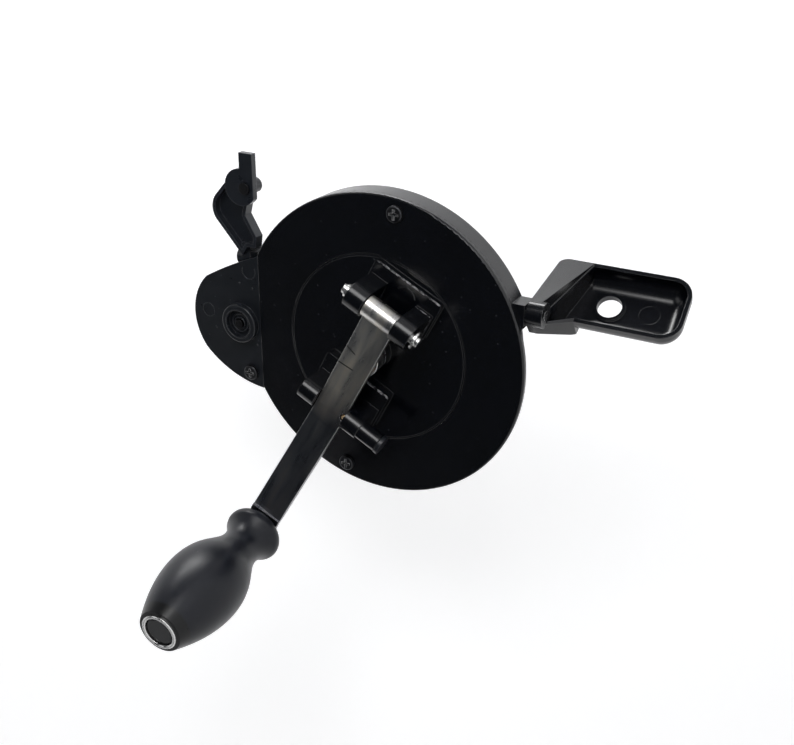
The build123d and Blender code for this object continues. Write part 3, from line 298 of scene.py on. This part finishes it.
def strip_material():
    """Nickel-plated strip with a painted reflection, bright by the hinge and dark past the latch, rubbed edges
    that are partly a painted highlight, and painted shade along two creases.
    """
    m = Nodes("strip_steel")
    along = m.reach(HUB_CENTRE, ALONG)
    across = m.reach(HUB_CENTRE, ACROSS)
    # painted reflection: bright by the hinge, bright again by the latch, dark past the bend
    tone = m.ramp(m.rescale(along, *STRIP_SPAN), STRIP_REFLECTION_TONES)

    # streaks drawn out along the strip
    drawn = m.add("ShaderNodeCombineXYZ")
    m.link(m.product(along, STREAK_SHARE), drawn.inputs["X"])
    m.link(across, drawn.inputs["Y"])
    streaks = m.add("ShaderNodeTexNoise")
    streaks.inputs["Scale"].default_value = 230
    streaks.inputs["Detail"].default_value = 5
    m.link(drawn.outputs[0], streaks.inputs["Vector"])
    cloud = streaks.outputs["Fac"]
    tone = m.mix(0.8, tone, m.ramp(cloud, STAIN_TONES), "MULTIPLY")

    # darker towards the knob's side
    tone = m.mix(m.product(m.step(across, -3.0 * MM, 5.5 * MM), 0.38), tone, KNOB_SIDE_TONE)
    # painted shade along two creases in the strip
    for start, slant, fade in CREASES:
        line = m.math("SUBTRACT", m.math("SUBTRACT", along, start), m.product(across, slant))
        dark = m.step(m.math("ABSOLUTE", line), 0.45 * MM, 0.1 * MM)
        tone = m.mix(m.product(dark, m.step(across, fade, fade - 1.5 * MM)), tone, CREASE_SHADE)

    # rubbed edges up to the grip, partly real rubbing and partly a painted edge highlight
    before_grip = m.step(along, STRIP_RUBBED_GLINT_END + 4.0 * MM, STRIP_RUBBED_GLINT_END)
    worn_and_glint = m.product(m.edges(0.6 * MM, 0.80, 0.96), before_grip, 0.75)
    tone = m.mix(worn_and_glint, tone, BARE_EDGE_AND_GLINT)
    m.set("Base Color", tone)
    m.set("Metallic", 1.0)
    m.set("Roughness", m.spread(cloud, 0.24, 0.38))
    m.relief(m.noise(300, 6, 0.7), 0.12, 0.06 * MM, 0.3 * MM)
    return m.material


def grip_material():
    """Smooth grip: bluish satin with a little dust, and a painted shade band round its end."""
    m = Nodes("grip_black")
    tone = m.ramp(m.noise(60, 5), [(0.3, (0.0030, 0.0042, 0.0080)), (0.7, (0.0060, 0.0072, 0.0125))])
    tone = m.dusted(tone, 300, 0.3, 0.12)
    shade_band_start = GRIP_END - GRIP_SHADE_BAND
    # painted shade round the grip's end, where it turns away towards the ring
    end = m.step(m.reach(GRIP_ROOT, GRIP_AXIS), shade_band_start, shade_band_start + 1.2 * MM)
    m.set("Base Color", m.mix(end, tone, GRIP_END_SHADE))
    rough = m.spread(m.noise(130, 5), 0.33, 0.42)
    m.set("Roughness", m.math("SUBTRACT", rough, m.product(end, 0.06)))
    m.set("IOR", 1.38)
    m.relief(m.noise(2400, 5, 0.7), 0.05, 0.05 * MM)
    return m.material


def metal(name, dark, light, rough_low, rough_high, stretch=(1, 1, 1), bump=0.04, rim=None):
    """Plated metal with a fine grain, cloudy handling marks, and painted edge highlights where asked.

    A stretch above 1 packs the grain closer along that axis.
    """
    m = Nodes(name)
    grain = m.noise(420, 6, 0.7, stretch)
    cloud = m.noise(55, 5)
    tone = m.ramp(cloud, [(NOISE_LOW, dark), (NOISE_HIGH, light)])
    streak = m.ramp(grain, [(0.35, (0.72, 0.72, 0.72)), (0.65, (1, 1, 1))])
    tone = m.mix(0.6, tone, streak, "MULTIPLY")
    # painted edge highlight in a paler tone
    if rim:
        tone = m.mix(m.edges(0.4 * MM, 0.84, 0.96), tone, rim)
    m.set("Base Color", tone)
    m.set("Metallic", 1.0)
    m.set("Roughness", m.spread(cloud, rough_low, rough_high))
    m.relief(grain, bump, 0.05 * MM, 0.3 * MM)
    return m.material


def nylon_material():
    """Natural nylon with a waxy sheen."""
    m = Nodes("nylon")
    m.set("Base Color", m.ramp(m.noise(60, 4), [(0.3, (0.50, 0.49, 0.44)), (0.7, (0.63, 0.62, 0.57))]))
    m.set("Roughness", m.spread(m.noise(300, 5), 0.35, 0.5))
    m.set("Subsurface Weight", 0.08)
    m.relief(m.noise(700, 4), 0.1, 0.08 * MM)
    return m.material


BLACK_DARK = (0.0010, 0.0015, 0.0030)
GLOSS = moulded("black_gloss", BLACK_DARK, (0.0022, 0.0030, 0.0056), 0.21, 0.26, 1400)
HUB = moulded("hub_gloss", BLACK_DARK, (0.0024, 0.0032, 0.0058), 0.18, 0.23, 1400,
              edge_wear_glint=0.06, dust_level=0.14, scuffs_and_glints=pad_scuffs_and_glints)
SATIN = moulded("black_satin", (0.0060, 0.0076, 0.0110), (0.0105, 0.0130, 0.0180), 0.27, 0.36, 1100)
LINK = moulded("link_satin", (0.0110, 0.0135, 0.0190), (0.0180, 0.0215, 0.0290), 0.26, 0.36, 1100,
               edge_wear_glint=0.35)
GRIP_BLACK = grip_material()
STRIP = strip_material()
BRIGHT = metal("bright_steel", (0.56, 0.56, 0.56), (0.74, 0.74, 0.73), 0.16, 0.28)
COPPER = metal("copper_plate", (0.50, 0.26, 0.16), (0.66, 0.38, 0.26), 0.22, 0.34)
DARK_STEEL = metal("black_steel", (0.020, 0.020, 0.022), (0.045, 0.045, 0.048), 0.30, 0.45, (1, 4, 1), 0.08)
# the screws' pale rims are a painted edge highlight
SCREW = metal("screw_steel", (0.030, 0.031, 0.034), (0.060, 0.061, 0.065), 0.28, 0.40,
              rim=(0.55, 0.55, 0.56))
BRASS = metal("brass", (0.46, 0.32, 0.17), (0.66, 0.50, 0.30), 0.25, 0.40, (1, 5, 1), 0.08)
NYLON = nylon_material()

BY_SLOT = {
    "black_gloss": GLOSS,
    "black_satin": SATIN,
    "steel": STRIP,
    "bright_steel": BRIGHT,
    "black_steel": DARK_STEEL,
    "brass": BRASS,
    "nylon": NYLON,
}
BY_NODE = {
    "grip": GRIP_BLACK,
    "crank_hub": HUB,
    "upper_arm": LINK,
    "upper_foot": LINK,
    "cover_screws": SCREW,
    "guide_screw": SCREW,
}
# a CAD node takes its own material, or else its slot's
for part in frame["record"]["subparts"]:
    mesh = nodes[part["node"]].data
    material = BY_NODE.get(part["node"], BY_SLOT[part["material_slot"]])
    mesh.materials.clear()
    mesh.materials.append(material)


# ---------------------------------------------------------------- small moulded details
def basis(origin, out, along):
    """Matrix with local z out of a surface and local x along it."""
    z = out.normalized()
    x = (along - z * along.dot(z)).normalized()
    y = z.cross(x)
    matrix = Matrix((x, y, z)).transposed().to_4x4()
    matrix.translation = origin
    return matrix


def finish_piece(bm, name, place, body, slot_name, material):
    """Turns a bmesh into a smooth piece that rides on a body."""
    mesh = bpy.data.meshes.new(name)
    bmesh.ops.recalc_face_normals(bm, faces=bm.faces)
    bm.to_mesh(mesh)
    bm.free()
    mesh.materials.append(material)
    for face in mesh.polygons:
        face.use_smooth = True
    piece = bpy.data.objects.new(name, mesh)
    bpy.context.scene.collection.objects.link(piece)
    piece.matrix_world = place
    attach(piece, body)


def lathe(profile, start=0.0, end=360.0, steps=64):
    """Turns a closed profile of (radius, height) points round local z. A part turn gets flat ends."""
    bm = bmesh.new()
    full = abs(end - start) >= 360.0
    count = steps if full else steps + 1
    rings = []
    for step in range(count):
        angle = math.radians(start + (end - start) * step / steps)
        ring = [bm.verts.new((r * math.cos(angle), r * math.sin(angle), h)) for r, h in profile]
        rings.append(ring)
    pairs = zip(rings, rings[1:] + rings[:1]) if full else zip(rings, rings[1:])
    for first, second in pairs:
        for a in range(len(profile)):
            b = (a + 1) % len(profile)
            bm.faces.new((first[a], first[b], second[b], second[a]))
    if not full:
        bm.faces.new(rings[0])
        bm.faces.new(list(reversed(rings[-1])))
    return bm


def in_mm(points):
    """Profile points given in millimetres."""
    return [(radius * MM, height * MM) for radius, height in points]


def bead(radius, width, height, sink=0.15 * MM):
    """Low rounded section of a raised ring, a little sunk into its surface."""
    half = width / 2
    return [
        (radius - half, -sink),
        (radius - half * 0.7, height * 0.6),
        (radius - half * 0.25, height),
        (radius + half * 0.25, height),
        (radius + half * 0.7, height * 0.6),
        (radius + half, -sink),
    ]


def ring_mark(name, at, out, along, radius, body, slot_name, material, width=0.5 * MM, height=0.14 * MM,
              start=0.0, end=360.0):
    """Raised witness ring, such as an ejector pin leaves."""
    bm = lathe(bead(radius, width, height), start, end)
    finish_piece(bm, name, basis(at, out, along), body, slot_name, material)


def front_point(x_mm, z_mm):
    """A point on the front face."""
    return Vector((x_mm * MM, FRONT_Y, z_mm * MM))


# witness marks and small domes on the guide cover
ON_GUIDE = ("case", "black_satin", SATIN)
DOME = in_mm([(0.02, -0.2), (0.02, 0.4), (0.3, 0.32), (0.55, 0.0), (0.6, -0.2)])
DOME_PLACES = ((-7.5, 87.0), (16.0, 65.0), (17.5, 72.0), (-12.0, 63.5))
ring_mark("guide_mark_left", front_point(0.5, 91.0), OUT, UP, 3.4 * MM, *ON_GUIDE)
ring_mark("guide_mark_top", front_point(24.0, 66.5), OUT, UP, 3.6 * MM, *ON_GUIDE, start=60, end=300)
for index, (x_mm, z_mm) in enumerate(DOME_PLACES):
    finish_piece(lathe(DOME), f"guide_dot_{index + 1}", basis(front_point(x_mm, z_mm), OUT, UP), *ON_GUIDE)

# rings around the roller's boss and in its recess
BOSS_AT = Vector((ROLLER.x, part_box("guide_cover")[0].y, ROLLER.z))
RECESS_DEPTH = 2.4 * MM
RECESS_AT = BOSS_AT - OUT * RECESS_DEPTH
for name, at, radius, width, height in (
    ("boss_lip", BOSS_AT, 7.0, 0.7, 0.12),
    ("boss_inner_ring", RECESS_AT, 4.4, 1.2, 0.7),
    ("boss_pin_collar", RECESS_AT, 2.7, 0.9, 1.1),
):
    ring_mark(name, at, OUT, UP, radius * MM, *ON_GUIDE, width * MM, height * MM)

# turned step just inside the hub plate's rim and a raised arc on the upper pad
ON_HUB = ("crank", "black_satin", HUB)
PAD_AT = HUB_CENTRE - ALONG * 32.0 * MM + ACROSS * 1.5 * MM + OUT * UPPER_PAD_HEIGHT
ring_mark("hub_rim_step", HUB_CENTRE, OUT, UP, 42.6 * MM, *ON_HUB, 0.5 * MM, 0.07 * MM)
ring_mark("pad_arc", PAD_AT, OUT, -ALONG, 5.0 * MM, *ON_HUB, 0.8 * MM, 0.3 * MM, start=-62, end=62)

# bright cup pressed on the axle's boss, with a copper-plated washer in it
CUP = in_mm([(7.2, 6.6), (7.3, 11.6), (7.7, 12.5), (8.2, 12.6), (8.3, 12.2), (7.9, 11.6), (7.8, 6.6)])
WASHER = in_mm([(5.3, 9.4), (5.4, 10.4), (6.3, 10.8), (7.25, 10.3), (7.25, 9.4)])
finish_piece(lathe(CUP), "axle_cup", basis(HUB_CENTRE, OUT, ALONG), "crank", "bright_steel", BRIGHT)
finish_piece(lathe(WASHER), "axle_washer", basis(HUB_CENTRE, OUT, ALONG), "crank", "brass", COPPER)

# ejector mark on the tray's floor, between the wall hole and the tray's lower wall
DOWN_TRAY = Vector((0, 0, -1))
MARK_FROM_HOLE = 17.0 * MM
FLOOR_FROM_MOUNT = 0.7 * MM                            # the floor's face, in front of the mount's point
MARK_AT = TRAY_AT + DOWN_TRAY * MARK_FROM_HOLE + TRAY_OUT * FLOOR_FROM_MOUNT
ring_mark("tray_mark", MARK_AT, TRAY_OUT, -DOWN_TRAY, 4.4 * MM, "bracket", "black_gloss", GLOSS)


# ---------------------------------------------------------------- camera at the photo's viewing angle
CAMERA_AT = Vector((180.3, -377.0, -195.8)) * MM
CAMERA_RIGHT = Vector((0.0149, 0.4719, -0.8815))
CAMERA_UP = Vector((0.9026, 0.3729, 0.2149))
CAMERA_BACK = Vector((0.4302, -0.7989, -0.4204))
LENS = 45.34
SUBJECT_DISTANCE = 0.44
SUBJECT = CAMERA_AT - CAMERA_BACK * SUBJECT_DISTANCE

camera_data = bpy.data.cameras.new("camera")
camera_data.sensor_width = 36.0
camera_data.lens = LENS
camera_data.clip_start = 0.01
camera = bpy.data.objects.new("camera", camera_data)
bpy.context.scene.collection.objects.link(camera)
orient = Matrix((CAMERA_RIGHT, CAMERA_UP, CAMERA_BACK)).transposed().to_4x4()
orient.translation = CAMERA_AT
camera.matrix_world = orient
bpy.context.scene.camera = camera


# ---------------------------------------------------------------- stage and light
STAGE_SIZE = 3.0                                       # from a sheet's centre to its side
STAGE_GLOW = 0.72
BACKDROP_BEHIND = 0.15                                 # behind the subject
FLOOR_Z = -0.34
SHEET_ALONG = Vector((0.3, 0.1, 1))                    # any direction that isn't square to a sheet


def from_camera(right, up, back):
    """A direction given in the camera's own axes."""
    return (CAMERA_RIGHT * right + CAMERA_UP * up + CAMERA_BACK * back).normalized()


def stage_material(name, color):
    """Pale matte sheet that stays near white to the camera and in reflections, and keeps the shadow.

    It is clear from behind, so that it never hides the object in another view.
    """
    m = Nodes(name)
    m.set("Base Color", color)
    m.set("Roughness", 0.9)
    path = m.add("ShaderNodeLightPath")
    seen = m.math("MAXIMUM", path.outputs["Is Camera Ray"],
                  m.math("MAXIMUM", path.outputs["Is Glossy Ray"], path.outputs["Is Transmission Ray"]))
    light = m.add("ShaderNodeEmission")
    m.link(m.product(seen, STAGE_GLOW), light.inputs["Strength"])
    both = m.add("ShaderNodeAddShader")
    m.link(m.shader.outputs[0], both.inputs[0])
    m.link(light.outputs[0], both.inputs[1])
    clear = m.add("ShaderNodeBsdfTransparent")
    side = m.add("ShaderNodeNewGeometry").outputs["Backfacing"]
    chooser = m.add("ShaderNodeMixShader")
    m.link(side, chooser.inputs[0])
    m.link(both.outputs[0], chooser.inputs[1])
    m.link(clear.outputs[0], chooser.inputs[2])
    m.link(chooser.outputs[0], m.output.inputs["Surface"])
    return m.material


def sheet(name, centre, out, color):
    """Large flat plane whose front looks along out."""
    bm = bmesh.new()
    bmesh.ops.create_grid(bm, x_segments=4, y_segments=4, size=STAGE_SIZE)
    mesh = bpy.data.meshes.new(name)
    bm.to_mesh(mesh)
    bm.free()
    mesh.materials.append(stage_material(name, color))
    plane = bpy.data.objects.new(name, mesh)
    bpy.context.scene.collection.objects.link(plane)
    plane.matrix_world = basis(centre, out, SHEET_ALONG)


sheet("backdrop", SUBJECT - CAMERA_BACK * BACKDROP_BEHIND, CAMERA_BACK, (0.62, 0.62, 0.63))
sheet("floor", Vector((0, 0, FLOOR_Z)), Vector((0, 0, 1)), (0.50, 0.50, 0.51))


def softbox(name, aim, distance, width, height, power):
    """Rectangular lamp aimed at the object from a direction in the camera's axes."""
    direction = from_camera(*aim)
    data = bpy.data.lights.new(name, "AREA")
    data.shape = "RECTANGLE"
    data.size = width
    data.size_y = height
    data.energy = power
    lamp = bpy.data.objects.new(name, data)
    bpy.context.scene.collection.objects.link(lamp)
    lamp.matrix_world = basis(SUBJECT + direction * distance, direction, CAMERA_RIGHT)


softbox("key_softbox", (-0.16, 0.50, 0.86), 0.9, 0.46, 0.32, 3.0)
softbox("top_softbox", (-0.22, 0.97, -0.15), 0.8, 0.6, 0.3, 8.5)
softbox("left_softbox", (-1.0, 0.35, 0.5), 1.0, 0.4, 0.7, 0.9)

# sky that is bright behind the object, dim in front of it, and white to the camera
world = bpy.data.worlds.new("studio")
world.use_nodes = True
bpy.context.scene.world = world
tree = world.node_tree
background = tree.nodes["Background"]
path = tree.nodes.new("ShaderNodeLightPath")
outwards = tree.nodes.new("ShaderNodeTexCoord")
behind = tree.nodes.new("ShaderNodeVectorMath")
behind.operation = "DOT_PRODUCT"
behind.inputs[1].default_value = tuple(-CAMERA_BACK)
tree.links.new(outwards.outputs["Generated"], behind.inputs[0])
level = tree.nodes.new("ShaderNodeMapRange")
for name, value in (("From Min", -0.1), ("From Max", 0.8), ("To Min", 0.07), ("To Max", 0.8)):
    level.inputs[name].default_value = value
tree.links.new(behind.outputs["Value"], level.inputs["Value"])
strength = tree.nodes.new("ShaderNodeMix")
strength.inputs[3].default_value = 1.0
tree.links.new(path.outputs["Is Camera Ray"], strength.inputs[0])
tree.links.new(level.outputs[0], strength.inputs[2])
tree.links.new(strength.outputs[0], background.inputs["Strength"])
tint = tree.nodes.new("ShaderNodeMix")
tint.data_type = "RGBA"
tint.inputs[6].default_value = (0.90, 0.95, 1.0, 1)
tint.inputs[7].default_value = (1.0, 1.0, 1.0, 1)
tree.links.new(path.outputs["Is Camera Ray"], tint.inputs[0])
tree.links.new(tint.outputs[2], background.inputs["Color"])

bpy.context.scene.view_settings.view_transform = "Standard"
